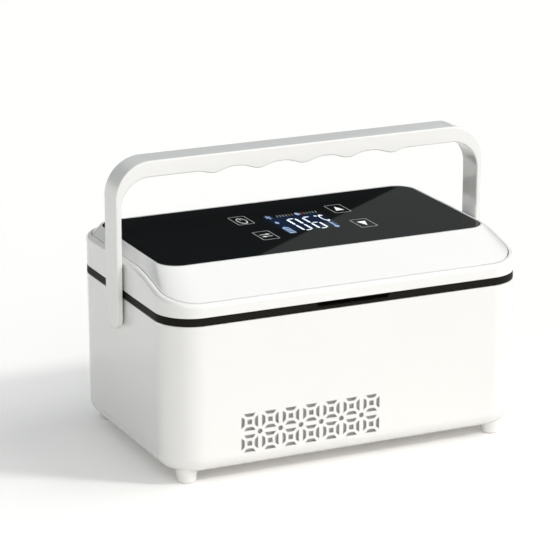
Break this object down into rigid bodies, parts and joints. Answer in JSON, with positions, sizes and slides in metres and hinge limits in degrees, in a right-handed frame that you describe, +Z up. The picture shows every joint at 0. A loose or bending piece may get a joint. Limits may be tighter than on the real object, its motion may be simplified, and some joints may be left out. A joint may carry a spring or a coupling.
{
  "type": "insulin cooling case",
  "caption": "White portable cooling box for insulin with a black rim band, glass-topped hinged lid, swinging carry handle, pierced front grille and fan-cooled compartment.",
  "frame": {"origin": "middle of the whole case's footprint at the level of the feet's undersides", "axes": "+Z up, -Y towards the front with the grille, +X to the right seen from the front"},
  "size_m": [0.2714, 0.1694, 0.2005],
  "materials": {
    "white_shell": "gloss moulded ABS",
    "black_rim": "satin black moulding",
    "black_glass": "polished black glass",
    "grey_rubber": "soft silicone",
    "white_foam": "cellular foam",
    "aluminium": "satin",
    "steel": "plated",
    "black_plastic": "satin black",
    "green_board": "solder mask",
    "blue_wrap": "shrink wrap",
    "white_ceramic": "unglazed ceramic"
  },
  "bodies": {
    "case": {"body_shell": "white_shell", "foot_front_left": "white_shell", "foot_front_right": "white_shell", "foot_rear_left": "white_shell", "foot_rear_right": "white_shell", "rim_frame": "black_rim", "hinge_pin_left": "steel", "hinge_pin_right": "steel", "inner_liner": "aluminium", "pen_rack": "white_shell", "insulation_foam": "white_foam", "temperature_sensor": "black_plastic", "cold_plate": "aluminium", "peltier_module": "white_ceramic", "mid_deck": "white_shell", "deck_screw_1": "steel", "deck_screw_2": "steel", "deck_screw_3": "steel", "deck_screw_4": "steel", "heat_sink": "aluminium", "fan_frame": "black_plastic", "vent_cover": "white_shell", "vent_screw_1": "steel", "vent_screw_2": "steel", "vent_screw_3": "steel", "vent_screw_4": "steel", "battery_pack": "blue_wrap", "control_board": "green_board", "dc_inlet": "black_plastic"},
    "fan": {"fan_rotor": "black_plastic"},
    "lid": {"lid_frame": "white_shell", "lid_cover": "white_shell", "glass_panel": "black_glass", "display_module": "black_plastic", "key_pad_power": "grey_rubber", "key_pad_mode": "grey_rubber", "key_pad_up": "grey_rubber", "key_pad_down": "grey_rubber", "panel_board": "green_board", "lid_foam": "white_foam", "lid_panel": "white_shell", "lid_screw_1": "steel", "lid_screw_2": "steel", "lid_screw_3": "steel", "lid_screw_4": "steel", "lid_gasket": "grey_rubber"},
    "handle": {"handle": "white_shell", "pivot_washer_left": "steel", "pivot_washer_right": "steel", "pivot_screw_left": "steel", "pivot_screw_right": "steel"}
  },
  "joints": [
    {"name": "lid_hinge", "type": "hinge", "parent": "case", "child": "lid", "pos_m": [0, 0.08145, 0.11405], "axis": [-1, 0, 0], "range_deg": [0, 24]},
    {"name": "handle_swing", "type": "hinge", "parent": "case", "child": "handle", "pos_m": [0, -0.00055, 0.096], "axis": [1, 0, 0], "range_deg": [-90, 90]},
    {"name": "fan_spin", "type": "hinge", "parent": "case", "child": "fan", "pos_m": [-0.0296, -0.00335, 0.0165], "axis": [0, 0, 1], "continuous": true}
  ]
}
